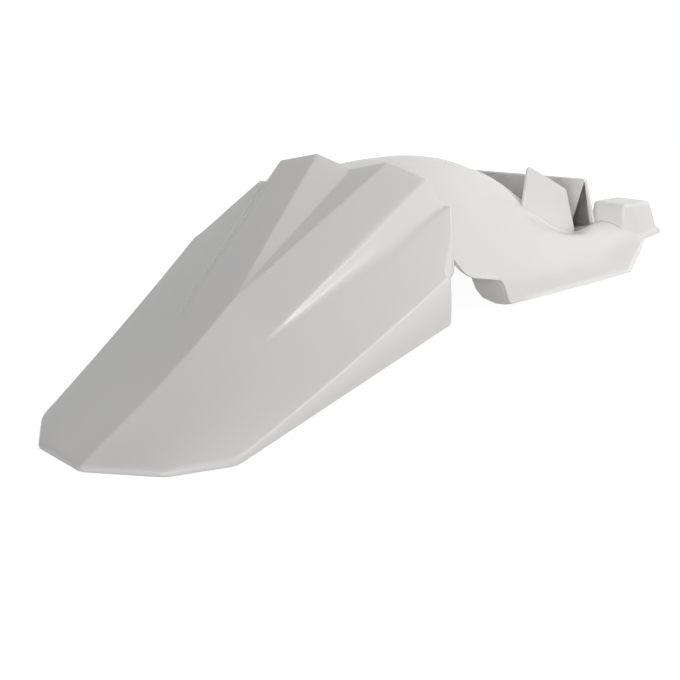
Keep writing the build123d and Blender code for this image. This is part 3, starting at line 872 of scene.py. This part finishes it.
def seen(tree):
    """One where a surface is looked at or mirrored, and nought where it only lights other things."""
    path = tree.nodes.new("ShaderNodeLightPath")
    kinds = ("Camera", "Glossy", "Transmission")
    first, *others = [Socket(tree, path.outputs[f"Is {kind} Ray"]) for kind in kinds]
    for other in others:
        first = first.maths("MAXIMUM", first, other)
    return first


floor_mesh = bpy.data.meshes.new("floor")
signs = ((-1, -1), (1, -1), (1, 1), (-1, 1))
floor_corners = [(x * FLOOR_HALF, y * FLOOR_HALF, -FLOOR_DROP) for x, y in signs]
floor_mesh.from_pydata(floor_corners, [], [(0, 1, 2, 3)])
floor = bpy.data.objects.new("floor", floor_mesh)
bpy.context.scene.collection.objects.link(floor)
paint = bpy.data.materials.new("floor")
paint.use_nodes = True
paint_tree = paint.node_tree
painted = paint_tree.nodes["Principled BSDF"]
painted.inputs["Base Color"].default_value = FLOOR_WHITE
painted.inputs["Roughness"].default_value = 1.0
painted.inputs["Specular IOR Level"].default_value = 0.0
painted.inputs["Emission Strength"].default_value = FLOOR_GLOW
floor_seen = seen(paint_tree)
glow = floor_seen.node("ShaderNodeCombineColor", None, {0: floor_seen, 1: floor_seen, 2: floor_seen})
paint_tree.links.new(glow.link, painted.inputs["Emission Color"])
floor_mesh.materials.append(paint)

world = bpy.data.worlds.new("studio")
world.use_nodes = True
bpy.context.scene.world = world
world_tree = world.node_tree
world_seen = seen(world_tree)
sky, backdrop = [
    world_seen.node("ShaderNodeBackground", None, {"Color": (1, 1, 1, 1), "Strength": strength})
    for strength in (AMBIENT, 1.0)
]
surround = world_seen.node("ShaderNodeMixShader", None, {0: world_seen, 1: sky, 2: backdrop})
world_tree.links.new(surround.link, world_tree.nodes["World Output"].inputs["Surface"])

LAMP_TINT, FILL_TINT, REAR_TINT = (1.0, 0.993, 0.975), (1.0, 0.965, 0.975), (1.0, 0.985, 0.99)
LAMP_AIM = Vector((0, 0, 0.08))
LAMPS = {
    "key": ((0.6, -1.2, 0.4), 0.8, 6.6, LAMP_TINT),
    "fill": ((-2.4, -2.0, 0.7), 1.6, 27.5, FILL_TINT),
    "rear": ((-3.0, -1.2, 0.7), 1.6, 30.5, REAR_TINT),
    "top": ((0.7, -0.2, 1.1), 0.5, 5.7, LAMP_TINT),
    "spark": ((-0.08, -0.61, 1.14), 0.12, 1.1, LAMP_TINT),
}
for name, (lamp_at, size, power, lamp_tint) in LAMPS.items():
    lamp = bpy.data.objects.new(name, bpy.data.lights.new(name, "AREA"))
    bpy.context.scene.collection.objects.link(lamp)
    lamp.data.size, lamp.data.energy, lamp.data.color = size, power, lamp_tint
    lamp.location = lamp_at
    lamp.rotation_mode = "QUATERNION"
    lamp.rotation_quaternion = (LAMP_AIM - lamp.location).to_track_quat("-Z", "Y")

CAMERA_AT = (-1.477859, -1.008077, 0.565880)
CAMERA_YAW, CAMERA_PITCH, CAMERA_ROLL = (math.radians(a) for a in (34.7785, 17.506, -1.615))
SENSOR, PHOTO_SIDE, FOCAL_PIXELS = 36.0, 680, 2200
camera = bpy.data.objects.new("camera", bpy.data.cameras.new("camera"))
bpy.context.scene.collection.objects.link(camera)
bpy.context.scene.camera = camera
camera.location = CAMERA_AT
level = math.cos(CAMERA_PITCH)
look = Vector((level * math.cos(CAMERA_YAW), level * math.sin(CAMERA_YAW), -math.sin(CAMERA_PITCH)))
camera.rotation_mode = "QUATERNION"
camera.rotation_quaternion = look.to_track_quat("-Z", "Y") @ Quaternion((0, 0, 1), CAMERA_ROLL)
camera.data.sensor_width = SENSOR
camera.data.lens = SENSOR * FOCAL_PIXELS / PHOTO_SIDE
bpy.context.scene.view_settings.view_transform = "Standard"
